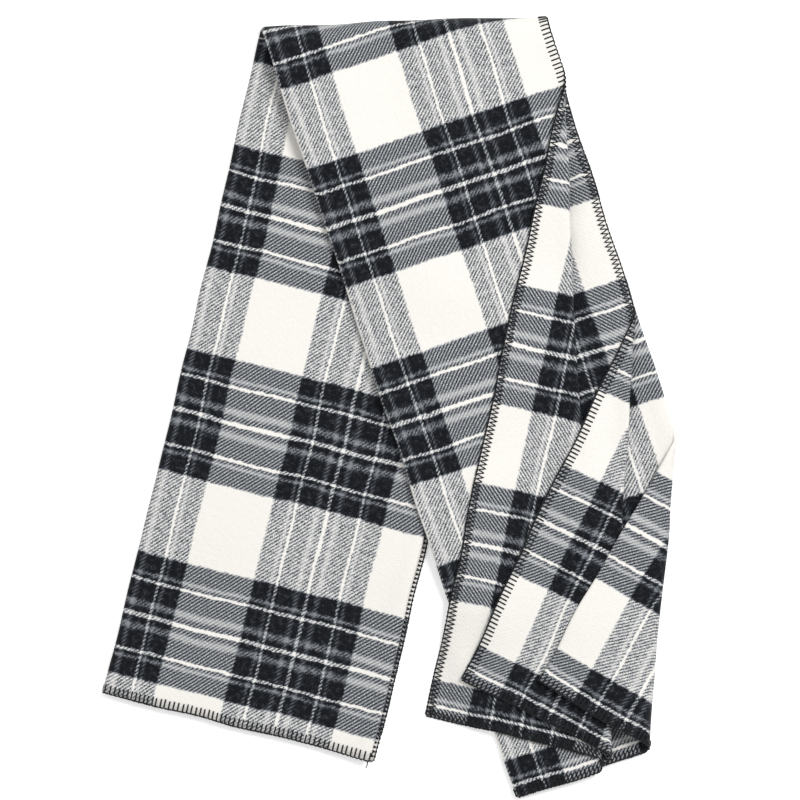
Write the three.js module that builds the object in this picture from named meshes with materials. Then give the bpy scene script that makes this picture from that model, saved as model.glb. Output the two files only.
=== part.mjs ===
// Camp blanket: one woven wool throw with whip-stitched edges. It is folded lengthwise into a strip
// four layers thick, then folded over at the middle into two legs that splay apart, and three of its
// folds have their right-hand side turned back over the front leg as lapels. It lies flat, +Z up.
//
// A place on the flat sheet is u across it from the first hem and v along it from the first end.
// Each fold rolls the sheet half a turn about a level axis, centred on a straight fold line.
import * as THREE from "three";

// ---- driving dimensions, in millimetres and degrees ----
const SHEET_WIDTH = 1362;
const SHEET_LENGTH = 1859;
const CLOTH_THICKNESS = 2;
const LAYER_GAP = 0.4;
const CENTRE_FOLD_INSET = 10.8; // the fold along the sheet's middle stops short of the hems by this

const NEAR_LEG_LENGTH = 848; // from the first end to the top fold, along the strip's left edge
const LEG_SPLAY = 13.6; // the near leg's lean from the Y axis
const TOP_FOLD_TILT = 2.3; // the top fold line's rise from the X axis
const TOP_ROLL_LENGTH = 55; // cloth that goes round the top fold
const TOP_ROLL_LOFT = 9; // air between the innermost layer and the top fold's axis
const FRONT_LEG_SLIP = 8.6; // the front leg's shift to the left along the top fold line
const LOFT_FADE_LENGTH = 260; // the front leg sinks onto the near leg over this length
const STEP_DOWN_WIDTH = 260; // and comes down off the near leg's edge over this width

// Where each lapel's fold line leaves its layer's right-hand edge, measured down the front leg,
// how much of the layer's width the lapel has taken at the second end of the sheet, and how much
// cloth goes round the fold.
const OUTER_LAPEL = { start: 167, endWidth: 238, roll: 5 };
const MIDDLE_LAPEL = { start: 465, endWidth: 230, roll: 12 };
const INNER_LAPEL = { start: 650, endWidth: 164, roll: 24 };

// The knotted line that the whip-stitch leaves along each edge, as thick as the cloth.
const STITCH_BEAD_WIDTH = 2.4;
const STITCH_CLEARANCE = 0.3;

// How finely the faceted surface follows the cloth.
const CELLS_ROUND_A_FOLD = 3;
const CELLS_ROUND_THE_TOP = 6;
const CELLS_ACROSS_A_LAYER = 5;
const CELLS_ACROSS_A_LAPEL = 5;
const CELLS_ALONG_NEAR_LEG = 3;
const CELLS_ALONG_FRONT_LEG = 14;
const CELLS_AT_A_LAPEL_START = 5;
const NARROWEST_CELL = 2;

// ---- the strip's cross-section ----
const PITCH = CLOTH_THICKNESS + LAYER_GAP;
const LOWEST_MIDDLE = CLOTH_THICKNESS / 2;
const LEG_WIDTH = SHEET_WIDTH / 4;
const INNER_WIDTH = LEG_WIDTH - CENTRE_FOLD_INSET;

// The layers in the order they follow each other across the sheet. Each lies at a level counted in
// layers, heads right (1) or left (-1), and all but the last end in a turn up (1) or down (-1).
const layers = [
  { level: 0, width: LEG_WIDTH, heading: -1, turn: 1, turnRadius: 1.5 * PITCH, lapel: OUTER_LAPEL },
  { level: 3, width: INNER_WIDTH, heading: 1, turn: -1, turnRadius: 0.5 * PITCH, lapel: INNER_LAPEL },
  { level: 2, width: INNER_WIDTH, heading: -1, turn: -1, turnRadius: 0.5 * PITCH, lapel: INNER_LAPEL },
  { level: 1, heading: 1, turn: 0, turnRadius: 0, lapel: MIDDLE_LAPEL },
];
let reached = 0;
for (const layer of layers) {
  layer.turnLength = Math.PI * layer.turnRadius;
  layer.width ??= SHEET_WIDTH - reached;
  layer.start = reached;
  layer.turnStart = reached + layer.width;
  reached = layer.turnStart + layer.turnLength;
}
const lastLayer = layers.at(-1);
const layerAt = (u) => layers.find((layer) => u < layer.turnStart + layer.turnLength) ?? lastLayer;

// The cloth at a place across the sheet before the top fold: a point, x from the strip's left edge,
// and the normal of the sheet's reverse side.
function inStrip(u, v) {
  const layer = layerAt(u);
  const { heading, turn, turnRadius } = layer;
  const turned = turn ? Math.max(u - layer.turnStart, 0) / turnRadius : 0;
  const run = turn ? Math.min(u - layer.start, layer.width) : u - layer.start;
  const startX = heading > 0 ? 0 : layer.width;
  const height = LOWEST_MIDDLE + layer.level * PITCH;
  return {
    layer,
    point: new THREE.Vector3(
      startX + heading * (run + turnRadius * Math.sin(turned)),
      v,
      height + turn * turnRadius * (1 - Math.cos(turned)),
    ),
    normal: new THREE.Vector3(turn * Math.sin(turned), 0, -heading * Math.cos(turned)),
  };
}

// ---- fold lines ----
const FOLD_ANGLE = THREE.MathUtils.degToRad(LEG_SPLAY + TOP_FOLD_TILT);
const HALF_ROLL = TOP_ROLL_LENGTH / 2 / Math.cos(FOLD_ANGLE);
const topFold = {
  origin: new THREE.Vector2(0, NEAR_LEG_LENGTH),
  outward: new THREE.Vector2(-Math.sin(FOLD_ANGLE), Math.cos(FOLD_ANGLE)),
  axisHeight: LOWEST_MIDDLE + 3.5 * PITCH + TOP_ROLL_LOFT,
  round: TOP_ROLL_LENGTH,
};
const alongTopFold = new THREE.Vector2(Math.cos(FOLD_ANGLE), Math.sin(FOLD_ANGLE));

// The front leg's directions, mirrored from the near leg's in the top fold line.
const frontRight = new THREE.Vector2(Math.cos(2 * FOLD_ANGLE), Math.sin(2 * FOLD_ANGLE));
const frontDown = new THREE.Vector2(Math.sin(2 * FOLD_ANGLE), -Math.cos(2 * FOLD_ANGLE));
const frontCorner = topFold.origin.clone().addScaledVector(alongTopFold, -FRONT_LEG_SLIP);

const topFoldAt = (x) => NEAR_LEG_LENGTH + x * Math.tan(FOLD_ANGLE);
const frontLength = SHEET_LENGTH - NEAR_LEG_LENGTH;
const lapelSlope = ({ start, endWidth }) => endWidth / (frontLength - start);

function lapelFold(layer) {
  const slope = lapelSlope(layer.lapel);
  return {
    origin: frontCorner
      .clone()
      .addScaledVector(frontRight, layer.width)
      .addScaledVector(frontDown, layer.lapel.start),
    outward: frontRight.clone().addScaledVector(frontDown, slope).normalize(),
    axisHeight: 2 * topFold.axisHeight - LOWEST_MIDDLE + PITCH / 2,
    round: layer.lapel.roll,
  };
}
for (const layer of layers) layer.fold = lapelFold(layer);

// ---- folding ----

// Distance of a point past a fold line.
const past = (point, { origin, outward }) =>
  (point.x - origin.x) * outward.x + (point.y - origin.y) * outward.y;

// Rolls the cloth past a fold line half a turn, up and back over itself.
function rollOver({ point, normal }, fold) {
  const { outward, axisHeight, round } = fold;
  const distance = past(point, fold) + round / 2;
  if (distance <= 0) return;
  const angle = Math.PI * Math.min(distance / round, 1);
  const radius = axisHeight - point.z;
  const moved = radius * Math.sin(angle) - Math.max(distance - round, 0) - distance;
  point.x += outward.x * moved;
  point.y += outward.y * moved;
  point.z = axisHeight - radius * Math.cos(angle);
  normal.applyAxisAngle(new THREE.Vector3(outward.y, -outward.x, 0), angle);
}

const smooth = (share) => THREE.MathUtils.smoothstep(share, 0, 1);

// How far the front leg sinks at a point: out of the top fold's loft, and off the near leg.
const sink = (point) =>
  2 * TOP_ROLL_LOFT * smooth((-past(point, topFold) - TOP_ROLL_LENGTH / 2) / LOFT_FADE_LENGTH) +
  layers.length * PITCH * smooth((point.x - LEG_WIDTH) / STEP_DOWN_WIDTH);

// The folded cloth at a place on the flat sheet.
function folded(u, v) {
  const cloth = inStrip(u, v);
  const { point, layer } = cloth;
  const rolled = v - topFoldAt(point.x) + HALF_ROLL;
  if (rolled <= 0) return cloth;
  rollOver(cloth, topFold);
  const slip = FRONT_LEG_SLIP * Math.min(rolled / (2 * HALF_ROLL), 1);
  point.x -= alongTopFold.x * slip;
  point.y -= alongTopFold.y * slip;
  if (rolled < 2 * HALF_ROLL) return cloth;
  rollOver(cloth, layer.fold);
  point.z -= sink(point);
  return cloth;
}

// ---- where the facets' corners lie on the sheet ----

// Cells that share a length, from one value to another; from itself is left out.
const steps = (from, to, count) =>
  Array.from({ length: count }, (_, k) => from + ((to - from) * (k + 1)) / count);

// Rows along the sheet, each a function of u. Near the top fold they lie parallel to its line, and
// they crowd together where a lapel's fold leaves its layer's right-hand edge and its stitches.
const rollStart = (u) => topFoldAt(inStrip(u, 0).point.x) - HALF_ROLL;
const rollEnd = (u) => rollStart(u) + 2 * HALF_ROLL;
function sharesAtLapel(layer) {
  const edge = layer.heading < 0 ? layer.start : layer.turnStart;
  const middle = NEAR_LEG_LENGTH + layer.lapel.start;
  const reach = layer.fold.round / 2 / layer.fold.outward.dot(frontDown);
  const first = middle - reach - (STITCH_CLEARANCE + STITCH_BEAD_WIDTH) / lapelSlope(layer.lapel);
  return [first, ...steps(first, middle + reach, CELLS_AT_A_LAPEL_START)].map(
    (v) => (v - rollEnd(edge)) / (SHEET_LENGTH - rollEnd(edge)),
  );
}
const [outerLayer, innerLayer, , middleLayer] = layers;
const frontShares = [
  ...steps(0, 1, CELLS_ALONG_FRONT_LEG),
  ...[outerLayer, middleLayer, innerLayer].flatMap(sharesAtLapel),
].sort((a, b) => a - b);
const rows = [
  () => 0,
  ...steps(0, 1, CELLS_ALONG_NEAR_LEG).map((share) => (u) => share * rollStart(u)),
  ...steps(0, 2 * HALF_ROLL, CELLS_ROUND_THE_TOP).map((round) => (u) => rollStart(u) + round),
  ...frontShares.map((share) => (u) => THREE.MathUtils.lerp(rollEnd(u), SHEET_LENGTH, share)),
];

// Distances from a layer's right-hand edge at which its columns cross a row, where the lapel has
// taken a width from it. Those round the lapel's fold follow its line.
function insets(layer, v) {
  const taken = (v - NEAR_LEG_LENGTH - layer.lapel.start) * lapelSlope(layer.lapel);
  const halfFold = layer.fold.round / 2 / layer.fold.outward.dot(frontRight);
  const wanted = [
    ...steps(0, taken - halfFold, CELLS_ACROSS_A_LAPEL),
    ...steps(taken - halfFold, taken + halfFold, CELLS_ROUND_A_FOLD),
  ];
  const kept = wanted.map((inset, k) => Math.max(inset, (k + 1) * NARROWEST_CELL));
  return [0, ...kept, ...steps(kept.at(-1), layer.width, CELLS_ACROSS_A_LAYER)];
}

// Columns across the sheet, each a function of v.
const columns = layers.flatMap((layer) => {
  const count = insets(layer, 0).length;
  const across = Array.from({ length: count }, (_, k) => (v) =>
    layer.heading < 0
      ? layer.start + insets(layer, v)[k]
      : layer.turnStart - insets(layer, v)[count - 1 - k],
  );
  const turn = steps(layer.turnStart, layer.turnStart + layer.turnLength, CELLS_ROUND_A_FOLD);
  return layer.turn ? [...across, ...turn.slice(0, -1).map((u) => () => u)] : across;
});

// A row and a column both bend a little, so their crossing is found by going back and forth.
function crossing(column, row) {
  let u = column(row(0));
  for (let round = 0; round < 8; round += 1) u = column(row(u));
  return { u, v: row(u) };
}

// ---- solids ----

// A closed solid as thick as the cloth, on the part of the sheet that the columns and rows cover.
function sheetSolid(someColumns, someRows) {
  const positions = [];
  const index = [];
  const across = someRows.length;
  for (const column of someColumns)
    for (const row of someRows) {
      const { u, v } = crossing(column, row);
      const { point, normal } = folded(u, v);
      for (const side of [-1, 1])
        positions.push(...point.clone().addScaledVector(normal, (side * CLOTH_THICKNESS) / 2));
    }
  const corner = (i, j, side) => 2 * (i * across + j) + side;
  const quad = (a, b, c, d) => index.push(a, b, c, a, c, d);
  const lastColumn = someColumns.length - 1;
  const lastRow = across - 1;
  for (let i = 0; i < lastColumn; i += 1)
    for (let j = 0; j < lastRow; j += 1) {
      quad(corner(i, j, 0), corner(i + 1, j, 0), corner(i + 1, j + 1, 0), corner(i, j + 1, 0));
      quad(corner(i, j, 1), corner(i, j + 1, 1), corner(i + 1, j + 1, 1), corner(i + 1, j, 1));
    }

  // The walls round its four edges. A wall and the one it faces on the next piece are split along
  // the same diagonal, so that they stay apart where the cloth twists.
  const wall = (i, j, nextI, nextJ, turned) => {
    const near = [corner(i, j, 0), corner(i, j, 1)];
    const far = [corner(nextI, nextJ, 0), corner(nextI, nextJ, 1)];
    if (turned) quad(near[0], far[0], far[1], near[1]);
    else quad(near[0], near[1], far[1], far[0]);
  };
  for (let i = 0; i < lastColumn; i += 1) {
    wall(i, 0, i + 1, 0, false);
    wall(i, lastRow, i + 1, lastRow, true);
  }
  for (let j = 0; j < lastRow; j += 1) {
    wall(0, j, 0, j + 1, true);
    wall(lastColumn, j, lastColumn, j + 1, false);
  }
  const geometry = new THREE.BufferGeometry();
  geometry.setAttribute("position", new THREE.Float32BufferAttribute(positions, 3));
  geometry.setIndex(index);
  geometry.computeVertexNormals();
  return geometry;
}

// The two lines between which a stitch bead lies, just outside an edge of the sheet.
const beadLines = (edge, outward) =>
  [STITCH_CLEARANCE, STITCH_CLEARANCE + STITCH_BEAD_WIDTH]
    .map((distance) => edge + outward * distance)
    .sort((a, b) => a - b)
    .map((place) => () => place);

const woolCloth = new THREE.MeshStandardMaterial({ color: 0x6d6e70, roughness: 0.95, metalness: 0 });
const stitchYarn = new THREE.MeshStandardMaterial({ color: 0x15171a, roughness: 0.9, metalness: 0 });

const blanket = new THREE.Group();
function addPiece(name, geometry, material) {
  const mesh = new THREE.Mesh(geometry, material);
  mesh.name = name;
  blanket.add(mesh);
}
const addStitchRun = (name, someColumns, someRows) =>
  addPiece(name, sheetSolid(someColumns, someRows), stitchYarn);

addPiece("woven_panel", sheetSolid(columns, rows), woolCloth);
addStitchRun("whip_stitch_first_hem", beadLines(0, -1), rows);
addStitchRun("whip_stitch_second_hem", beadLines(SHEET_WIDTH, 1), rows);
addStitchRun("whip_stitch_near_end", columns, beadLines(0, -1));
addStitchRun("whip_stitch_far_end", columns, beadLines(SHEET_LENGTH, 1));

// ---- stands on the origin, at the middle of its outline ----
blanket.rotation.z = -THREE.MathUtils.degToRad(LEG_SPLAY);
blanket.updateMatrixWorld(true);
const box = new THREE.Box3().setFromObject(blanket, true);
const middle = box.getCenter(new THREE.Vector3());
blanket.position.set(-middle.x, -middle.y, -box.min.z);

export default blanket;
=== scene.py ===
"""Camp blanket: a napped wool tartan throw with whip-stitched edges, folded and laid flat.

The whole cloth is laid out from its flat size: a place on the sheet is u across it from the first
hem and v along it from the first end. It is folded lengthwise into four layers, folded over at the
middle into two legs, and three of its folds are turned back over the front leg as lapels.
"""

import math

import bpy
import numpy as np
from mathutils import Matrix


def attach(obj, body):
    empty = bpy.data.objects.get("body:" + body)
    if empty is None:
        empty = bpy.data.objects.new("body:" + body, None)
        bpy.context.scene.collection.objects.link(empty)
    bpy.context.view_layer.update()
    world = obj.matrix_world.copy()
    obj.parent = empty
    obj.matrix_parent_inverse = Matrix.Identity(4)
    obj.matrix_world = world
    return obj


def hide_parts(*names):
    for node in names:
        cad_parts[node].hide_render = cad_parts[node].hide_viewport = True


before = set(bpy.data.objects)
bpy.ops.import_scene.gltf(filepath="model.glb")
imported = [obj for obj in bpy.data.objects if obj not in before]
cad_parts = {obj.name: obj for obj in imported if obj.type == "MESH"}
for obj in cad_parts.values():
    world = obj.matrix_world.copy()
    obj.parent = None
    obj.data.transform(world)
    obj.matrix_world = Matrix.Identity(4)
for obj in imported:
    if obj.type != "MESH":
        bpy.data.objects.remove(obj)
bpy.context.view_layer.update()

# ---- the blanket's sizes, in millimetres and degrees ----

SHEET_WIDTH = 1362.0
SHEET_LENGTH = 1867.0
CLOTH_THICKNESS = 2.0
PITCH = 2.4  # from one resting layer to the next
CENTRE_FOLD_INSET = 8.3  # the fold along the sheet's middle stops short of the hems by this

NEAR_LEG_LENGTH = 852.9  # from the first end to the top fold, along the strip's left edge
LEG_SPLAY = 13.2  # the near leg's lean from the Y axis
TOP_FOLD_TILT = 2.57  # the top fold line's rise from the X axis
TOP_ROLL_LENGTH = 55.0  # every layer's roll starts half of this before the top fold's axis
TOP_ROLL_LOFT = 6.8  # air between the innermost layer and the top fold's axis
FRONT_LEG_SLIP = 4.0  # the front leg's shift to the left along the top fold line
LOFT_FADE_LENGTH = 260.0  # the front leg sinks onto the near leg over this length

LEG_WIDTH = SHEET_WIDTH / 4
INNER_WIDTH = LEG_WIDTH - CENTRE_FOLD_INSET
FRONT_LENGTH = SHEET_LENGTH - NEAR_LEG_LENGTH
LAPEL_LENGTH = 1006.0  # down the front leg to where the lapels' end widths are measured

FOLD_LOFT = 3.6  # air that a soft fold holds open
FOLD_LOFT_REACH = 16.0  # to either side of the fold
LOOSE = (PITCH + FOLD_LOFT) / 2  # radius of a soft fold with nothing inside it

# Levels in the pile, from the floor: the near leg's four layers, the front leg's four the other way
# up, and the four lapels.
STRIP_LAYERS = 4
LEVELS = 3 * STRIP_LAYERS


def smooth(share):
    share = np.clip(share, 0.0, 1.0)
    return share * share * (3 - 2 * share)


def unit(x, y):
    return np.array([x, y]) / math.hypot(x, y)


def beyond(x, y, origin, direction):
    """How far places on the floor lie from an origin in one direction."""
    return (x - origin[0]) * direction[0] + (y - origin[1]) * direction[1]


# ---- fold lines ----

FOLD_ANGLE = math.radians(LEG_SPLAY + TOP_FOLD_TILT)
TOP_OUTWARD = np.array([-math.sin(FOLD_ANGLE), math.cos(FOLD_ANGLE)])
ALONG_TOP = np.array([math.cos(FOLD_ANGLE), math.sin(FOLD_ANGLE)])
TOP_ORIGIN = np.array([0.0, NEAR_LEG_LENGTH])
FRONT_RIGHT = np.array([math.cos(2 * FOLD_ANGLE), math.sin(2 * FOLD_ANGLE)])
FRONT_DOWN = np.array([math.sin(2 * FOLD_ANGLE), -math.cos(2 * FOLD_ANGLE)])
FRONT_CORNER = TOP_ORIGIN - FRONT_LEG_SLIP * ALONG_TOP


class Layer:
    """One of the strip's four layers, with the lapel that its right-hand side makes."""

    def __init__(self, level, heading, width, turn_radius, top_roll, lapel):
        self.level, self.heading, self.width = level, heading, width
        self.front_level = 2 * STRIP_LAYERS - 1 - level
        self.lapel_level = 2 * STRIP_LAYERS + level
        self.turn_radius = turn_radius
        self.turn_length = math.pi * turn_radius
        self.top_roll = top_roll  # cloth that goes round the top of the blanket
        self.start, self.end_width, self.ease, self.radius, self.roll, self.slip = lapel
        self.slope = self.end_width / (LAPEL_LENGTH - self.start)
        self.outward = unit(*(FRONT_RIGHT + FRONT_DOWN * self.slope))
        self.up_fold = np.array([-self.outward[1], self.outward[0]])
        self.origin = FRONT_CORNER + FRONT_RIGHT * width + FRONT_DOWN * self.start


# Each lapel: where it starts down the front leg, its width at the end, how far before the fold line
# the cloth leaves its layer, the fold's radius and length, and how far it has slipped up the fold.
OUTER_LAPEL = (193.7, 224.5, 4.5, LOOSE, math.pi * LOOSE, 16.0)
MIDDLE_LAPEL = (502.7, 205.2, 5.6, LOOSE, math.pi * LOOSE, 12.3)
SHARED_ROLL = math.pi * (LOOSE + PITCH / 2)
BACK_LAPEL = (668.5, 152.0, 9.2, LOOSE, SHARED_ROLL, 13.3)
FACE_LAPEL = (668.5, 152.0, 9.2, LOOSE + PITCH, SHARED_ROLL, 13.3)
MIDDLE_WIDTH = SHEET_WIDTH - LEG_WIDTH - 2 * INNER_WIDTH - math.pi * (2 * PITCH + LOOSE)

OUTER = Layer(0, -1, LEG_WIDTH, 1.5 * PITCH, 57.2, OUTER_LAPEL)
INNER_FACE = Layer(3, 1, INNER_WIDTH, LOOSE, 63.0, FACE_LAPEL)
INNER_BACK = Layer(2, -1, INNER_WIDTH, 0.5 * PITCH, 63.0, BACK_LAPEL)
MIDDLE = Layer(1, 1, MIDDLE_WIDTH, 0, 66.0, MIDDLE_LAPEL)
LAYERS = (OUTER, INNER_FACE, INNER_BACK, MIDDLE)
AFTER = (INNER_FACE, INNER_BACK, MIDDLE, MIDDLE)

reached = 0.0
for layer in LAYERS:
    layer.first_u = reached
    layer.turn_u = reached + layer.width
    reached = layer.turn_u + layer.turn_length


def place_in_layers(u):
    """Index of the layer, with the turn after it, that each place across the sheet is in."""
    return np.searchsorted([layer.first_u for layer in LAYERS[1:]], u, side="right")


def per_layer(index, name, layers=LAYERS):
    return np.array([getattr(layer, name) for layer in layers])[index]


# ---- how the pile settles: the height of each level over each place on the floor ----

CELL = 4.0
FLOOR_X = np.arange(-60.0, 880.0, CELL)
FLOOR_Y = np.arange(-100.0, 1010.0, CELL)
BRIDGE = 20.0  # a layer bridges the step beside an edge under it over about this length


def blurred(field, sigma):
    reach = int(3 * sigma / CELL)
    steps = np.arange(-reach, reach + 1)
    weights = np.exp(-0.5 * (steps * CELL / sigma) ** 2)
    weights /= weights.sum()
    for axis in (0, 1):
        field = sum(w * np.roll(field, s, axis) for s, w in zip(steps, weights))
    return field


def widened(field, radius):
    reach = int(radius / CELL)
    for axis in (0, 1):
        field = np.max([np.roll(field, s, axis) for s in range(-reach, reach + 1)], axis=0)
    return field


HEM_BULK = 1.5  # the stitched ends hold the layers this much further apart
HEM_BULK_REACH = 13.0


def hill(distance, reach):
    return np.exp(-((distance / reach) ** 2))


SLIP_GROWTH = 1.3  # the slip grows to its full size over the front leg's length divided by this


def down_fold(x, y, origin, up_fold):
    """Share of a lapel's slip at a place beside its fold: 0 at its start, and 1 at most."""
    down = -((x - origin[..., 0]) * up_fold[..., 0] + (y - origin[..., 1]) * up_fold[..., 1])
    return np.clip(down / FRONT_LENGTH * SLIP_GROWTH, 0, 1)


def settle():
    x, y = np.meshgrid(FLOOR_X, FLOOR_Y, indexing="ij")
    past_top = beyond(x, y, TOP_ORIGIN, TOP_OUTWARD)
    across = beyond(x, y, FRONT_CORNER, FRONT_RIGHT)
    down = beyond(x, y, FRONT_CORNER, FRONT_DOWN)

    present, loft = {}, {level: 0.0 for level in range(LEVELS)}
    for layer in LAYERS:
        length = FRONT_LENGTH + TOP_ROLL_LENGTH - layer.top_roll
        present[layer.level] = (x > 0) & (x < layer.width) & (y > 0) & (past_top < 0)
        past = beyond(x, y, layer.origin, layer.outward)
        on_front = (across > 0) & (across < layer.width) & (down < length) & (past_top < 0)
        present[layer.front_level] = on_front & (past < 0)
        slipped = layer.slip * down_fold(x, y, layer.origin, layer.up_fold)
        mirror_x = x - 2 * past * layer.outward[0] - slipped * layer.up_fold[0]
        mirror_y = y - 2 * past * layer.outward[1] - slipped * layer.up_fold[1]
        far_across = beyond(mirror_x, mirror_y, FRONT_CORNER, FRONT_RIGHT)
        far_down = beyond(mirror_x, mirror_y, FRONT_CORNER, FRONT_DOWN)
        in_lapel = (far_across > 0) & (far_across < layer.width) & (far_down < length)
        present[layer.lapel_level] = (past < 0) & in_lapel
        loft[layer.level] = HEM_BULK * hill(y, HEM_BULK_REACH)
        loft[layer.front_level] = HEM_BULK * hill(down - length, HEM_BULK_REACH)
        loft[layer.lapel_level] = HEM_BULK * hill(far_down - length, HEM_BULK_REACH)
    for layer in (OUTER, MIDDLE):
        loft[layer.level] = np.maximum(
            loft[layer.level], HEM_BULK * hill(x - layer.width, HEM_BULK_REACH))

    # Air in the fold along the sheet's middle, in the top fold, and in the lapels' folds.
    near_fold, top_fold, front_fold = INNER_FACE.level, INNER_FACE.front_level, INNER_BACK.front_level
    loft[near_fold] = np.maximum(
        loft[near_fold], FOLD_LOFT * hill(x - INNER_WIDTH, FOLD_LOFT_REACH))
    fading = 1 - smooth((-past_top - TOP_ROLL_LENGTH / 2) / LOFT_FADE_LENGTH)
    loft[top_fold] = loft[top_fold] + 2 * TOP_ROLL_LOFT * fading
    loft[front_fold] = np.maximum(
        loft[front_fold], FOLD_LOFT * hill(across - INNER_WIDTH, FOLD_LOFT_REACH))
    for layer in (OUTER, MIDDLE, INNER_BACK):
        level = layer.lapel_level
        past = beyond(x, y, layer.origin, layer.outward)
        loft[level] = np.maximum(loft[level], FOLD_LOFT * hill(past, FOLD_LOFT_REACH))

    top = np.zeros_like(x)
    heights = []
    for level in range(LEVELS):
        ground = blurred(widened(top, BRIDGE), BRIDGE / 2) if level else top
        height = ground + CLOTH_THICKNESS / 2 + loft[level]
        heights.append(height)
        top = np.where(present[level], height + PITCH - CLOTH_THICKNESS / 2, top)
    return np.array(heights)


HEIGHTS = settle()


def heights_at(x, y):
    """Height of every level at places on the floor, by bilinear interpolation."""
    i = np.clip((x - FLOOR_X[0]) / CELL, 0, len(FLOOR_X) - 1.001)
    j = np.clip((y - FLOOR_Y[0]) / CELL, 0, len(FLOOR_Y) - 1.001)
    i0, j0 = i.astype(int), j.astype(int)
    fi, fj = i - i0, j - j0
    return (
        HEIGHTS[:, i0, j0] * (1 - fi) * (1 - fj)
        + HEIGHTS[:, i0 + 1, j0] * fi * (1 - fj)
        + HEIGHTS[:, i0, j0 + 1] * (1 - fi) * fj
        + HEIGHTS[:, i0 + 1, j0 + 1] * fi * fj
    )


WAVE_COUNT = 9


def waves(seed, shortest, longest):
    rng = np.random.default_rng(seed)
    return [
        (rng.uniform(shortest, longest), rng.uniform(0, math.pi), rng.uniform(0, 2 * math.pi))
        for _ in range(WAVE_COUNT)
    ]


def waving(x, y, some_waves):
    """Sum of slow waves over the floor: each has a length, a heading and a phase."""
    total = np.zeros_like(x)
    for length, heading, phase in some_waves:
        distance = x * math.cos(heading) + y * math.sin(heading)
        total += np.sin(distance * 2 * math.pi / length + phase)
    return total


RIPPLES = waves(7, 110, 320)  # they stop the pile from lying dead flat
RIPPLE_HEIGHT = 0.03  # each wave changes a place's height by up to this share
WANDER_ACROSS, WANDER_ALONG = waves(11, 70, 300), waves(12, 70, 300)
WANDER = 0.32  # millimetres that each wave pulls the cloth sideways

# How a hand-laid blanket leaves the straight: sideways pull and bowing of each leg, in millimetres.
NEAR_WEFT_SAG = -0.019
NEAR_BOW, NEAR_PULL, NEAR_TAPER = 2.9, -4.3, -5.2
NEAR_DROOP = -4.0
FRONT_BOW, FRONT_PULL, FRONT_SQUEEZE = -4.1, -4.6, -7.5
TOP_BOW, TOP_BOW_REACH = 0.6, 120.0


def arch(share):
    """Rises from 0 to 1 and falls to 0 again as the share goes from 0 to 1."""
    share = np.clip(share, 0, 1)
    return 4 * share * (1 - share)


def laid_by_hand(x, y, on_front):
    """Places on the floor after the small pulls of a real pair of hands."""
    up = np.clip(y / NEAR_LEG_LENGTH, 0, 1)
    near_x = NEAR_BOW * arch(up) + NEAR_PULL * arch(x / LEG_WIDTH)
    near_x = near_x + NEAR_TAPER * (x / LEG_WIDTH - 0.5) * up
    near_y = NEAR_WEFT_SAG * (x - LEG_WIDTH / 2) + NEAR_DROOP * (1 - up)
    across = beyond(x, y, FRONT_CORNER, FRONT_RIGHT)
    down = beyond(x, y, FRONT_CORNER, FRONT_DOWN)
    pull = FRONT_BOW * arch(down / FRONT_LENGTH) + FRONT_PULL * arch(across / LEG_WIDTH)
    pull = pull + FRONT_SQUEEZE * np.clip(across / LEG_WIDTH, 0, 1) ** 2
    bow = arch(beyond(x, y, TOP_ORIGIN, ALONG_TOP) / LEG_WIDTH)
    bow = TOP_BOW * bow * hill(beyond(x, y, TOP_ORIGIN, TOP_OUTWARD), TOP_BOW_REACH)
    wander_x = WANDER * waving(x, y, WANDER_ACROSS)
    wander_y = WANDER * waving(x, y, WANDER_ALONG)
    new_x = x + near_x * (1 - on_front) + FRONT_RIGHT[0] * pull * on_front
    new_y = y + near_y * (1 - on_front) + FRONT_RIGHT[1] * pull * on_front
    return new_x + TOP_OUTWARD[0] * bow + wander_x, new_y + TOP_OUTWARD[1] * bow + wander_y


SPLAY = math.radians(-LEG_SPLAY)
STRIP_CORNER = (-349.6, -352.3)  # where the near leg's first left corner lies


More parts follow.
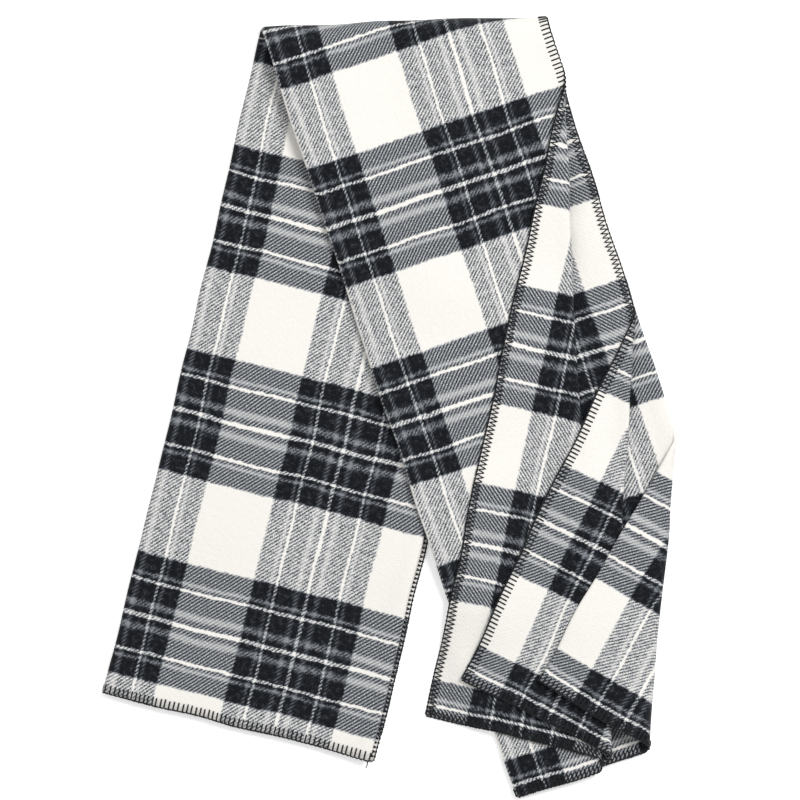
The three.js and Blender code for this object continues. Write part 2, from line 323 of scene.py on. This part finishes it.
def folded(u, v):
    """Middle of the cloth at places on the flat sheet, as points in millimetres."""
    u, v = np.broadcast_arrays(np.asarray(u, float), np.asarray(v, float))
    index = place_in_layers(u)
    width = per_layer(index, "width")
    radius = per_layer(index, "turn_radius")
    run = u - per_layer(index, "first_u")
    turned = np.where(radius > 0, np.clip(run - width, 0, None) / np.maximum(radius, 1e-6), 0)
    run = np.where(radius > 0, np.minimum(run, width), run)
    heading = per_layer(index, "heading")
    x = np.where(heading > 0, 0, width) + heading * (run + radius * np.sin(turned))
    y = v.copy()

    # The share of each point's height that each level of the pile gives it.
    share = np.zeros((LEVELS,) + u.shape)
    over = (1 - np.cos(turned)) / 2
    grid = np.indices(u.shape)
    np.add.at(share, (per_layer(index, "level"), *grid), 1 - over)
    np.add.at(share, (per_layer(index, "level", AFTER), *grid), over)

    depths = np.arange(STRIP_LAYERS).reshape((STRIP_LAYERS,) + (1,) * u.ndim)
    depth = (share[:STRIP_LAYERS] * depths).sum(0)
    top_roll = per_layer(index, "top_roll") * (1 - over) + per_layer(index, "top_roll", AFTER) * over
    distance = beyond(x, y, TOP_ORIGIN, TOP_OUTWARD) + TOP_ROLL_LENGTH / 2
    turn = np.clip(distance / top_roll, 0, 1)
    roll_radius = TOP_ROLL_LOFT + (STRIP_LAYERS - 0.5 - depth) * PITCH
    moved = roll_radius * np.sin(math.pi * turn) - np.clip(distance - top_roll, 0, None)
    moved = np.where(distance > 0, moved - distance, 0)
    x = x + TOP_OUTWARD[0] * moved - ALONG_TOP[0] * FRONT_LEG_SLIP * turn
    y = y + TOP_OUTWARD[1] * moved - ALONG_TOP[1] * FRONT_LEG_SLIP * turn
    lifted = (1 - np.cos(math.pi * turn)) / 2
    mirrored = np.zeros_like(share)
    mirrored[:8] = share[7::-1]  # folded over, the lowest of eight levels is the highest
    share = share * (1 - lifted) + mirrored * lifted

    # The lapel's fold, which only cloth on the front leg reaches.
    lapel = {}
    for name in ("ease", "radius", "roll", "slip"):
        lapel[name] = per_layer(index, name) * (1 - over) + per_layer(index, name, AFTER) * over
    outward = per_layer(index, "outward")
    origin = per_layer(index, "origin")
    distance = (x - origin[..., 0]) * outward[..., 0] + (y - origin[..., 1]) * outward[..., 1]
    distance = np.where(turn >= 1, distance + lapel["ease"], -1)
    rolled = np.clip(distance / lapel["roll"], 0, 1)
    moved = lapel["radius"] * np.sin(math.pi * rolled) - np.clip(distance - lapel["roll"], 0, None)
    moved = np.where(distance > 0, moved - distance, 0)
    up_fold = per_layer(index, "up_fold")
    slipped = lapel["slip"] * rolled * down_fold(x, y, origin, up_fold)
    x = x + outward[..., 0] * moved + up_fold[..., 0] * slipped
    y = y + outward[..., 1] * moved + up_fold[..., 1] * slipped
    over = (1 - np.cos(math.pi * rolled)) / 2
    mirrored = np.zeros_like(share)
    mirrored[4:12] = share[11:3:-1]  # turned back, the front leg's levels become the lapels'
    share = np.where(distance > 0, share * (1 - over) + mirrored * over, share)

    z = (share * heights_at(x, y)).sum(0)
    middle = CLOTH_THICKNESS / 2
    z = middle + (z - middle) * (1 + RIPPLE_HEIGHT * waving(x, y, RIPPLES))
    x, y = laid_by_hand(x, y, smooth(turn))
    c, s = math.cos(SPLAY), math.sin(SPLAY)
    return np.stack([STRIP_CORNER[0] + c * x - s * y, STRIP_CORNER[1] + s * x + c * y, z], -1)


NUDGE = 0.6  # millimetres to either side that the cloth's slope is taken over


def on_cloth(u, v, lift):
    """Points at a height off the cloth's middle, and the normal there.

    The height is positive, and the normal points away from the cloth, on its reverse side.
    """
    u, v = np.broadcast_arrays(np.asarray(u, float), np.asarray(v, float))
    inside_u = np.clip(u, NUDGE, SHEET_WIDTH - NUDGE)
    inside_v = np.clip(v, NUDGE, SHEET_LENGTH - NUDGE)
    along_u = folded(inside_u + NUDGE, inside_v) - folded(inside_u - NUDGE, inside_v)
    along_v = folded(inside_u, inside_v + NUDGE) - folded(inside_u, inside_v - NUDGE)
    normal = -np.cross(along_u, along_v)
    normal /= np.linalg.norm(normal, axis=-1, keepdims=True)
    slope_u, slope_v = along_u / (2 * NUDGE), along_v / (2 * NUDGE)
    middle = folded(inside_u, inside_v)
    middle = middle + slope_u * (u - inside_u)[..., None] + slope_v * (v - inside_v)[..., None]
    return middle + normal * np.broadcast_to(lift, u.shape)[..., None], normal


# ---- the grid of threads that the mesh follows: it runs along every fold ----

ACROSS_LAPEL = 24
ROUND_FOLD = 12
ACROSS_REST = 24
ROUND_TURN = 8
ALONG_NEAR = 70
ROUND_TOP = 16
ALONG_FRONT = 96
NARROWEST = 1.3
NARROWING_LENGTH = 150.0  # columns draw together over this length before a lapel starts
START_ROWS = (-2.5, -1.5, -0.5, 0.5, 1.5)  # extra rows about a lapel's start
START_ROW_STEP = 0.006  # of the front leg's length
GRID_PASSES = 6  # rows and columns shape each other, so they are worked out in turns


def insets(layer, v, k):
    """Distance from the layer's right-hand edge of its column k where it crosses places v."""
    extra = layer.top_roll - TOP_ROLL_LENGTH
    past_start = v - NEAR_LEG_LENGTH - extra - layer.start
    taken = past_start * layer.slope
    scale = 1 / layer.outward.dot(FRONT_RIGHT)
    fold_from = taken + (layer.ease - layer.roll) * scale
    fold_to = taken + layer.ease * scale
    even = layer.width / (ACROSS_LAPEL + ROUND_FOLD + ACROSS_REST)
    ahead = -past_start / NARROWING_LENGTH
    narrow = NARROWEST + (even - NARROWEST) * smooth(ahead)
    last = ACROSS_LAPEL + ROUND_FOLD
    inner = np.maximum(fold_to, last * narrow)
    if k <= ACROSS_LAPEL:
        wanted = fold_from * k / ACROSS_LAPEL
    elif k <= last:
        wanted = fold_from + (fold_to - fold_from) * (k - ACROSS_LAPEL) / ROUND_FOLD
    else:
        return inner + (layer.width - inner) * (k - last) / ACROSS_REST
    return np.maximum(wanted, k * narrow)


def column(layer, k, v):
    count = ACROSS_LAPEL + ROUND_FOLD + ACROSS_REST
    if layer.heading < 0:
        return layer.first_u + insets(layer, v, k)
    return layer.turn_u - insets(layer, v, count - k)


def thread_grid():
    count = ACROSS_LAPEL + ROUND_FOLD + ACROSS_REST
    columns = []
    for layer in LAYERS:
        columns += [lambda v, layer=layer, k=k: column(layer, k, v) for k in range(count + 1)]
        if layer is not MIDDLE:
            turns = [layer.turn_u + layer.turn_length * k / ROUND_TURN for k in range(1, ROUND_TURN)]
            columns += [lambda v, u=u: np.full_like(v, u) for u in turns]
    starts = []
    for layer in (OUTER, MIDDLE, INNER_FACE):
        middle = layer.start / FRONT_LENGTH
        starts += [middle + k * START_ROW_STEP for k in START_ROWS]
    near = np.arange(ALONG_NEAR) / ALONG_NEAR
    roll = np.arange(ROUND_TOP) / ROUND_TOP
    front = np.sort(np.concatenate([np.linspace(0, 1, ALONG_FRONT + 1), starts]))

    def rows(u):
        index = place_in_layers(u)
        run = u - per_layer(index, "first_u")
        width = per_layer(index, "width")
        x = np.where(per_layer(index, "heading") > 0, run, width - run)
        x = np.clip(x, 0, width)
        past = np.clip(run - width, 0, None) / np.maximum(per_layer(index, "turn_length"), 1e-6)
        over = (1 - np.cos(math.pi * np.clip(past, 0, 1))) / 2
        round_top = per_layer(index, "top_roll") * (1 - over)
        round_top = (round_top + per_layer(index, "top_roll", AFTER) * over) / math.cos(FOLD_ANGLE)
        begin = NEAR_LEG_LENGTH + x * math.tan(FOLD_ANGLE)
        begin = begin - TOP_ROLL_LENGTH / 2 / math.cos(FOLD_ANGLE)
        n, r = len(near), len(roll)
        end = begin + round_top
        return np.concatenate(
            [
                near * begin[:, :n],
                begin[:, n:n + r] + roll * round_top[:, n:n + r],
                end[:, n + r:] + front * (SHEET_LENGTH - end[:, n + r:]),
            ],
            axis=1,
        )

    total = len(near) + len(roll) + len(front)
    u = np.array([line(np.zeros(total)) for line in columns])
    for _ in range(GRID_PASSES):
        v = rows(u)
        u = np.array([line(v[i]) for i, line in enumerate(columns)])
    return u, rows(u)


def add_object(name, mesh, material, node):
    piece = bpy.data.objects.new(name, mesh)
    bpy.context.scene.collection.objects.link(piece)
    mesh.materials.append(material)
    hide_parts(node)
    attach(piece, "root")
    return piece


BAKE_MARGIN = 12.0  # millimetres of cloth between the two sides in the flat layout


def cloth_mesh():
    u, v = thread_grid()
    columns, rows = u.shape
    sides = [on_cloth(u, v, lift)[0] for lift in (-CLOTH_THICKNESS / 2, CLOTH_THICKNESS / 2)]
    points = np.stack(sides, 2).reshape(-1, 3) / 1000
    corner = np.arange(columns * rows * 2).reshape(columns, rows, 2)
    a, b, c, d = corner[:-1, :-1], corner[1:, :-1], corner[1:, 1:], corner[:-1, 1:]
    face = np.stack([a, b, c, d], -1)[:, :, 0].reshape(-1, 4)
    back = np.stack([a, d, c, b], -1)[:, :, 1].reshape(-1, 4)
    walls = []
    for edge, flipped in (
        (corner[:, 0], False), (corner[:, -1], True), (corner[0], True), (corner[-1], False)
    ):
        near, far = edge[:-1], edge[1:]
        wall = [near[:, 0], near[:, 1], far[:, 1], far[:, 0]]
        walls.append(np.stack(wall[::-1] if flipped else wall, -1))
    wall_count = sum(len(wall) for wall in walls)
    faces = np.concatenate([face, back, *walls])

    mesh = bpy.data.meshes.new("woven_cloth")
    mesh.from_pydata(points.tolist(), [], faces.tolist())
    flat = np.ones(len(faces), bool)
    flat[-wall_count:] = False
    mesh.polygons.foreach_set("use_smooth", flat)

    # The place on the flat sheet, in metres, for the weave, and a layout of both sides for baking.
    place = np.stack([u, v], -1)[:, :, None].repeat(2, 2).reshape(-1, 2)
    loops = faces.reshape(-1)
    weave = mesh.uv_layers.new(name="sheet")
    weave.data.foreach_set("uv", (place[loops] / 1000).astype(np.float32).reshape(-1))
    layout = mesh.uv_layers.new(name="OFBake")
    scale = 1 / (2 * SHEET_WIDTH + 4 * BAKE_MARGIN)
    spot = place[loops].copy()
    on_back = np.repeat(np.arange(len(faces)) >= len(face), 4)
    on_wall = np.repeat(np.arange(len(faces)) >= len(faces) - wall_count, 4)
    spot[on_back & ~on_wall, 0] += SHEET_WIDTH + 2 * BAKE_MARGIN
    # A wall lies in the margin beside the face's outline.
    lifted = on_wall & (loops % 2 == 1)
    outward = np.zeros_like(spot)
    at = 4 * (len(face) + len(back))
    for wall, direction in zip(walls, ((0, -1), (0, 1), (-1, 0), (1, 0))):
        outward[at:at + 4 * len(wall)] = direction
        at += 4 * len(wall)
    spot += outward * (lifted * CLOTH_THICKNESS)[:, None]
    spot = (spot + BAKE_MARGIN) * scale
    layout.data.foreach_set("uv", spot.astype(np.float32).reshape(-1))
    mesh.uv_layers.active = weave
    weave.active_render = True
    mesh.validate()
    return mesh


# ---- whip-stitch ----

STITCH_PITCH = 5.6
STITCH_DEPTH = 9.5
YARN_RADIUS = 0.95
YARN_SIDES = 7
YARN_STANDING = 0.55  # the yarn's middle stands this share of its radius off the cloth
ZIGZAG_PULL = 0.76  # the yarn on the reverse is pulled tighter and thinner
STITCH_SHAKE = 0.35  # millimetres that a stitch made by hand strays
SHAKE_ALONG = 0.6  # share of that which shows along the edge
PURL_STEPS = 6  # points to each knot
PURL_OUT, PURL_SWAY, PURL_LIFT = 0.5, 0.35, 0.5  # off the edge, and off the cloth's middle
KNOT_THICK, KNOT_SWELL = 1.12, 0.22  # shares of the yarn's radius
CORNER_GAP = 0.3  # the yarn stops this short of the edge's end
TAIL_LENGTH, TAIL_TAPER = 13.0, 0.3
TAIL_INSET = 3.0  # it leaves the stitching this far in from the edge
TAIL_POINTS = 9


def tubes(paths, refs, radius):
    """Closed round tubes along paths, each an array of points, as vertices and faces."""
    tangent = np.gradient(paths, axis=1)
    tangent /= np.linalg.norm(tangent, axis=-1, keepdims=True)
    side = np.cross(tangent, refs)
    side /= np.linalg.norm(side, axis=-1, keepdims=True)
    up = np.cross(side, tangent)
    radius = np.broadcast_to(radius, paths.shape[:2])[..., None, None]
    angle = np.arange(YARN_SIDES) * 2 * math.pi / YARN_SIDES
    paths[..., 2] = np.maximum(paths[..., 2], radius[..., 0, 0])  # nothing goes below the floor
    ring = side[:, :, None] * np.cos(angle)[:, None] + up[:, :, None] * np.sin(angle)[:, None]
    points = paths[:, :, None] + ring * radius
    count, length = paths.shape[:2]
    at = np.arange(count * length * YARN_SIDES).reshape(count, length, YARN_SIDES)
    following = np.roll(at, -1, 2)
    quads = np.stack([at[:, :-1], following[:, :-1], following[:, 1:], at[:, 1:]], -1).reshape(-1, 4)
    caps = np.concatenate([at[:, 0, ::-1], at[:, -1]])
    return points.reshape(-1, 3), quads, caps


def stitch_run(name, along, length, node, material, tails=()):
    """Whip-stitch along an edge. along(s, inset, lift) gives points, s along the edge.

    A tail is the place along the edge where a loose end leaves it, and how far it drifts.
    """
    count = int(length / STITCH_PITCH)
    pitch = length / count
    s = (np.arange(count) + 0.5) * pitch
    shake = np.random.default_rng(len(name)).normal(0, STITCH_SHAKE, (2, count))
    top = CLOTH_THICKNESS / 2 + YARN_RADIUS * YARN_STANDING
    parts = []

    # Bars over the face, from the needle's hole to the edge: each point's distance in from the
    # edge and its height off the cloth's middle.
    profile = ((STITCH_DEPTH, -0.2), (STITCH_DEPTH - 0.9, -top), (6.5, -top), (3.4, -top),
               (0.8, -top), (-0.6, -top * 0.5), (-0.9, 0.3))
    inset = np.array([p[0] for p in profile])[None] + shake[1][:, None]
    lift = np.broadcast_to(np.array([p[1] for p in profile]), inset.shape)
    places = np.broadcast_to(s[:, None] + shake[0][:, None] * SHAKE_ALONG, inset.shape)
    bars, _ = along(places, inset, lift)
    step, _ = along(places + 1.0, inset, lift)
    parts.append(tubes(bars, step - bars, YARN_RADIUS))

    # A zigzag over the reverse, between the holes and the edge.
    bend = np.array([0.0, 0.12, 0.38, 0.5, 0.62, 0.88])
    inset = np.interp(bend, [0, 0.5, 1], [STITCH_DEPTH, -0.2, STITCH_DEPTH])
    inset = (inset[None] + shake[1][:, None]).reshape(-1)
    places = (s[:, None] + bend * pitch).reshape(-1)
    deep = np.tile(np.where(bend == 0, 0.75, 1.0), count)
    keep = places < length - CORNER_GAP
    zigzag, up = along(places[None, keep], inset[None, keep], (top * deep)[None, keep])
    parts.append(tubes(zigzag, up, YARN_RADIUS * ZIGZAG_PULL))

    # The purl: small knots where the loops meet along the edge.
    places = np.arange(0.4, length - CORNER_GAP, pitch / PURL_STEPS)
    knot = np.cos(2 * math.pi * places / pitch)
    inset = -PURL_OUT - PURL_SWAY * knot
    lift = PURL_LIFT * np.sin(2 * math.pi * places / pitch)
    purl, up = along(places[None], inset[None], lift[None])
    parts.append(tubes(purl, up, (YARN_RADIUS * (KNOT_THICK + KNOT_SWELL * knot))[None]))
    for place, drift in tails:
        share = np.linspace(0, 1, TAIL_POINTS)[None]
        inset = TAIL_INSET - TAIL_LENGTH * share
        tail, up = along(place + drift * share**2, inset, top * (1 - share))
        parts.append(tubes(tail, up, YARN_RADIUS * (1 - TAIL_TAPER * share)))

    points, faces, offset = [], [], 0
    for vertices, quads, caps in parts:
        points.append(vertices)
        faces += (quads + offset).tolist() + (caps + offset).tolist()
        offset += len(vertices)
    mesh = bpy.data.meshes.new(name)
    mesh.from_pydata((np.concatenate(points) / 1000).tolist(), [], faces)
    mesh.polygons.foreach_set("use_smooth", np.ones(len(faces), bool))
    mesh.validate()
    return add_object(name, mesh, material, node)


# ---- materials ----


def linear(hex_colour):
    """sRGB hex to linear colour."""
    parts = [int(hex_colour[i:i + 2], 16) / 255 for i in (1, 3, 5)]
    return (*(p / 12.92 if p <= 0.04045 else ((p + 0.055) / 1.055) ** 2.4 for p in parts), 1.0)


def add_node(tree, kind, inputs=None, **settings):
    """A node with its settings. An input is a value, or the node whose first output feeds it."""
    node = tree.nodes.new("ShaderNode" + kind)
    for name, value in settings.items():
        setattr(node, name, value)
    for name, value in (inputs or {}).items():
        if isinstance(value, bpy.types.Node):
            value = value.outputs[0]
        if isinstance(value, bpy.types.NodeSocket):
            tree.links.new(value, node.inputs[name])
        else:
            node.inputs[name].default_value = value
    return node


def new_material(name, roughness, sheen, sheen_roughness):
    material = bpy.data.materials.new(name)
    material.use_nodes = True
    tree = material.node_tree
    tree.nodes.clear()
    surface = add_node(tree, "BsdfPrincipled", {
        "Roughness": roughness,
        "IOR": 1.54,
        "Specular IOR Level": 0.15,
        "Sheen Weight": sheen,
        "Sheen Roughness": sheen_roughness,
    })
    output = add_node(tree, "OutputMaterial")
    tree.links.new(surface.outputs[0], output.inputs["Surface"])
    return material, tree, surface


# The check: every dark stripe holds the same lines, mirrored about its middle. Each line is the
# distance of its middle from the stripe's middle, half its width, how light its yarn is, and how
# far the nap smears its edge.
CREAM, GREY = 1.0, 0.5
WARP_REPEAT, WARP_DARK, WARP_FIRST = 224.7, 137.0, 119.25
WARP_LINES = (
    (0, 2.2, CREAM, 1.6), (13.0, 3.2, GREY, 4.5), (39.5, 1.7, CREAM, 1.6), (46.5, 2.0, GREY, 3.5))
WEFT_REPEAT, WEFT_DARK, WEFT_FIRST = 256.3, 152.3, 102.15
WEFT_LINES = (
    (0, 2.7, CREAM, 1.6), (14.4, 4.2, GREY, 4.5), (43.8, 1.9, CREAM, 1.6), (52.0, 2.2, GREY, 3.5))
STRIPE_SMEAR = 2.8

# From the black yarn to the cream one, and what their fibres look like mixed in between.
WOOL_SHADES = (
    (0.0, "#07090e"), (0.12, "#202328"), (0.25, "#3d4146"), (0.5, "#73777c"), (0.75, "#a6a7a7"),
    (1.0, "#d8d5d0"))

TWILL_ALONG_WEFT = 5.2  # millimetres from one twill line to the next: four threads
TWILL_RISE = 1.0  # how far the line climbs for each step along the weft
WEFT_SHARE = 0.62  # the napped weft covers this much of the cloth
TWILL_DEPTH = 0.28  # how far the twill line moves that share
CLOUD_BREAK, FIBRE_BREAK = 0.55, 1.7  # how far the clouds and the tufts break the twill line up
CLOUD_FLECK, FIBRE_FLECK = 0.8, 0.55  # how much grey fibre lies over the yarns
FLECK_ON_CREAM = 0.04  # it shows in full on black yarn, and this much on cream
RELIEF_OF_TWILL, RELIEF_OF_TUFTS, RELIEF_OF_CLOUDS = 0.10, 0.7, 1.6
TO_MM = 1000.0
DRAG = 0.0055  # metres of yarn displacement for the whole range of the noise

# Noise cells to the metre. Wool fibre is about 0.025 mm thick, far too fine to show, so the loose
# fibre is drawn as tufts of about 1.6 mm, and the brushed clouds of it are about 7 mm across.
FIBRE_SCALE, CLOUD_SCALE, DRAG_SCALE = 620.0, 150.0, 190.0


def striped(tree, place, first, repeat, dark, lines):
    """How light the yarn is at a distance across its stripes, in millimetres: 0 black, 1 cream."""
    shifted = add_node(tree, "Math", {0: place, 1: first}, operation="SUBTRACT")
    distance = add_node(tree, "Math", {0: shifted, 1: repeat / 2}, operation="PINGPONG")
    shade = add_node(
        tree, "Math", {0: distance, 1: 1 / STRIPE_SMEAR, 2: 0.5 - dark / 2 / STRIPE_SMEAR},
        operation="MULTIPLY_ADD", use_clamp=True)
    for middle, half, lightness, smear in lines:
        off = add_node(tree, "Math", {0: distance, 1: middle}, operation="SUBTRACT")
        off = add_node(tree, "Math", {0: off}, operation="ABSOLUTE")
        line = add_node(
            tree, "Math", {0: off, 1: -1 / smear, 2: half / smear + 0.5},
            operation="MULTIPLY_ADD", use_clamp=True)
        line = add_node(tree, "Math", {0: line, 1: lightness}, operation="MULTIPLY")
        shade = add_node(tree, "Math", {0: shade, 1: line}, operation="MAXIMUM")
    return shade


def wool_tartan():
    """Wool, woven in a two-and-two twill and brushed.

    The eye gets soft-edged checks with broken diagonal lines where a light and a dark yarn cross,
    deep matt black squares clouded with grey fibre, and a creamy white that holds no shine.
    """
    material, tree, surface = new_material("napped_wool_tartan", 1.0, 0.06, 0.6)
    flat = add_node(tree, "UVMap", uv_map="sheet")
    # The brush drags the yarns a millimetre or so out of line.
    drag = add_node(tree, "TexNoise", {"Vector": flat, "Scale": DRAG_SCALE, "Detail": 3.0})
    drag = add_node(tree, "VectorMath", {0: drag.outputs["Color"], 1: (0.5,) * 3}, operation="SUBTRACT")
    drag = add_node(tree, "VectorMath", {0: drag, "Scale": DRAG}, operation="SCALE")
    place = add_node(tree, "VectorMath", {0: flat, 1: drag}, operation="ADD")
    place = add_node(tree, "VectorMath", {0: place, "Scale": TO_MM}, operation="SCALE")
    parts = add_node(tree, "SeparateXYZ", {0: place})
    across, along = parts.outputs[0], parts.outputs[1]
    warp = striped(tree, across, WARP_FIRST, WARP_REPEAT, WARP_DARK, WARP_LINES)
    weft = striped(tree, along, WEFT_FIRST, WEFT_REPEAT, WEFT_DARK, WEFT_LINES)

    # The twill: which yarn is on top goes in diagonal lines, and loose fibre breaks them up.
    threads = add_node(tree, "VectorMath", {0: flat, "Scale": TO_MM}, operation="SCALE")
    threads = add_node(tree, "SeparateXYZ", {0: threads})
    phase = add_node(
        tree, "Math", {0: threads.outputs[1], 1: -1 / TWILL_RISE, 2: threads.outputs[0]},
        operation="MULTIPLY_ADD")
    phase = add_node(
        tree, "Math", {0: phase, 1: 2 * math.pi / TWILL_ALONG_WEFT}, operation="MULTIPLY")
    wave = add_node(tree, "Math", {0: phase}, operation="SINE")
    fibre = {"Vector": flat, "Scale": FIBRE_SCALE, "Detail": 2.0, "Roughness": 0.6}
    fibre = add_node(tree, "TexNoise", fibre)
    fibre = add_node(tree, "Math", {0: fibre, 1: 0.5}, operation="SUBTRACT")
    cloud = {"Vector": flat, "Scale": CLOUD_SCALE, "Detail": 3.0, "Roughness": 0.65}
    cloud = add_node(tree, "TexNoise", cloud)
    cloud = add_node(tree, "Math", {0: cloud, 1: 0.5}, operation="SUBTRACT")
    lines = add_node(tree, "Math", {0: wave, 1: TWILL_DEPTH, 2: WEFT_SHARE}, operation="MULTIPLY_ADD")
    lines = add_node(tree, "Math", {0: cloud, 1: CLOUD_BREAK, 2: lines}, operation="MULTIPLY_ADD")
    cover = add_node(
        tree, "Math", {0: fibre, 1: FIBRE_BREAK, 2: lines}, operation="MULTIPLY_ADD", use_clamp=True)
    shade = add_node(tree, "Mix", {0: cover, 2: warp, 3: weft})
    # Grey fibre lies over the dark yarns in clouds, and over the light ones hardly shows.
    fleck = add_node(tree, "Math", {0: cloud, 1: CLOUD_FLECK}, operation="MULTIPLY")
    fleck = add_node(tree, "Math", {0: fibre, 1: FIBRE_FLECK, 2: fleck}, operation="MULTIPLY_ADD")
    shows = add_node(tree, "Math", {0: 1.0, 1: shade}, operation="SUBTRACT")
    shows = add_node(
        tree, "Math", {0: shows, 1: 1 - FLECK_ON_CREAM, 2: FLECK_ON_CREAM}, operation="MULTIPLY_ADD")
    shade = add_node(
        tree, "Math", {0: fleck, 1: shows, 2: shade}, operation="MULTIPLY_ADD", use_clamp=True)

    wool = add_node(tree, "ValToRGB", {0: shade})
    stops = wool.color_ramp.elements
    for at, shade_of_wool in WOOL_SHADES[1:-1]:
        stops.new(at).color = linear(shade_of_wool)
    stops[0].color, stops[-1].color = linear(WOOL_SHADES[0][1]), linear(WOOL_SHADES[-1][1])
    tree.links.new(wool.outputs[0], surface.inputs["Base Color"])

    relief = add_node(tree, "Math", {0: wave, 1: RELIEF_OF_TWILL}, operation="MULTIPLY")
    relief = add_node(tree, "Math", {0: fibre, 1: RELIEF_OF_TUFTS, 2: relief}, operation="MULTIPLY_ADD")
    relief = add_node(tree, "Math", {0: cloud, 1: RELIEF_OF_CLOUDS, 2: relief}, operation="MULTIPLY_ADD")
    bump = add_node(tree, "Bump", {"Height": relief, "Strength": 0.6, "Distance": 0.0009})
    tree.links.new(bump.outputs[0], surface.inputs["Normal"])
    return material


def black_yarn():
    """Soft black wool yarn, matt, with a faint halo of fibre that lightens it."""
    material, tree, surface = new_material("black_stitch_yarn", 0.95, 0.1, 0.5)
    place = add_node(tree, "TexCoord").outputs["Object"]
    fibre = add_node(tree, "TexNoise", {"Vector": place, "Scale": 900.0, "Detail": 2.0})
    blend = add_node(
        tree, "Mix", {0: fibre, 6: linear("#08090b"), 7: linear("#1e2125")}, data_type="RGBA")
    tree.links.new(blend.outputs[2], surface.inputs["Base Color"])
    bump = add_node(tree, "Bump", {"Height": fibre, "Strength": 0.6, "Distance": 0.0005})
    tree.links.new(bump.outputs[0], surface.inputs["Normal"])
    return material


wool = wool_tartan()
yarn = black_yarn()

# ---- the pieces ----

cloth = add_object("woven_cloth", cloth_mesh(), wool, "woven_panel")

# One loose end shows where the middle lapel starts, the other at the near leg's right-hand corner.
MIDDLE_TAIL = NEAR_LEG_LENGTH + MIDDLE.start + 8.0
hem_one = stitch_run(
    "first_hem_stitches", lambda s, inset, lift: on_cloth(inset, s, lift),
    SHEET_LENGTH, "whip_stitch_first_hem", yarn)
hem_two = stitch_run(
    "second_hem_stitches", lambda s, inset, lift: on_cloth(SHEET_WIDTH - inset, s, lift),
    SHEET_LENGTH, "whip_stitch_second_hem", yarn, tails=[(MIDDLE_TAIL, -5.0)])
end_near = stitch_run(
    "near_end_stitches", lambda s, inset, lift: on_cloth(s, inset, lift),
    SHEET_WIDTH, "whip_stitch_near_end", yarn, tails=[(INNER_BACK.first_u - 6.0, 4.0)])
end_far = stitch_run(
    "far_end_stitches", lambda s, inset, lift: on_cloth(s, SHEET_LENGTH - inset, lift),
    SHEET_WIDTH, "whip_stitch_far_end", yarn)

# ---- floor, light and camera ----

FLOOR_HALF, FLOOR_LEVEL = 6.0, -0.0005  # just under the cloth, so that the two don't coincide
FLOOR_GLOW = 0.3
# Each lamp: its name, its place in metres, its watts and its width in metres.
LAMPS = (("key", (1.7, 1.3, 3.4), 132.0, 1.6), ("fill", (-1.3, 0.2, 2.2), 16.0, 2.2))
SKY_STRENGTH = 0.6
CAMERA_HEIGHT = 7.0
VIEW_WIDTH = 0.988  # metres of floor across the view
VIEW_CENTRE = (0.01235, 0.0074)


def studio():
    half, level = FLOOR_HALF, FLOOR_LEVEL
    corners = [(-half, -half, level), (half, -half, level), (half, half, level), (-half, half, level)]
    mesh = bpy.data.meshes.new("floor")
    mesh.from_pydata(corners, [], [(0, 1, 2, 3)])
    floor = bpy.data.objects.new("floor", mesh)
    bpy.context.scene.collection.objects.link(floor)
    # A white light table: it glows a little, so that the blanket's shadow on it stays faint.
    paint, tree, surface = new_material("pale_floor", 0.9, 0.0, 0.5)
    surface.inputs["Base Color"].default_value = linear("#f4f4f4")
    surface.inputs["Emission Color"].default_value = (1, 1, 1, 1)
    surface.inputs["Emission Strength"].default_value = FLOOR_GLOW
    mesh.materials.append(paint)

    for name, place, energy, width in LAMPS:
        light = bpy.data.lights.new(name, "AREA")
        light.energy = energy
        light.size = width
        lamp = bpy.data.objects.new(name, light)
        lamp.location = place
        direction = -lamp.location.normalized()
        lamp.rotation_euler = direction.to_track_quat("-Z", "Y").to_euler()
        bpy.context.scene.collection.objects.link(lamp)
    world = bpy.data.worlds.new("studio")
    world.use_nodes = True
    world.node_tree.nodes["Background"].inputs["Color"].default_value = (1, 1, 1, 1)
    world.node_tree.nodes["Background"].inputs["Strength"].default_value = SKY_STRENGTH
    bpy.context.scene.world = world

    lens = bpy.data.cameras.new("camera")
    lens.lens = lens.sensor_width * CAMERA_HEIGHT / VIEW_WIDTH
    lens.clip_end = 50
    camera = bpy.data.objects.new("camera", lens)
    camera.location = (*VIEW_CENTRE, CAMERA_HEIGHT)
    bpy.context.scene.collection.objects.link(camera)
    bpy.context.scene.camera = camera
    bpy.context.scene.view_settings.view_transform = "Standard"


studio()
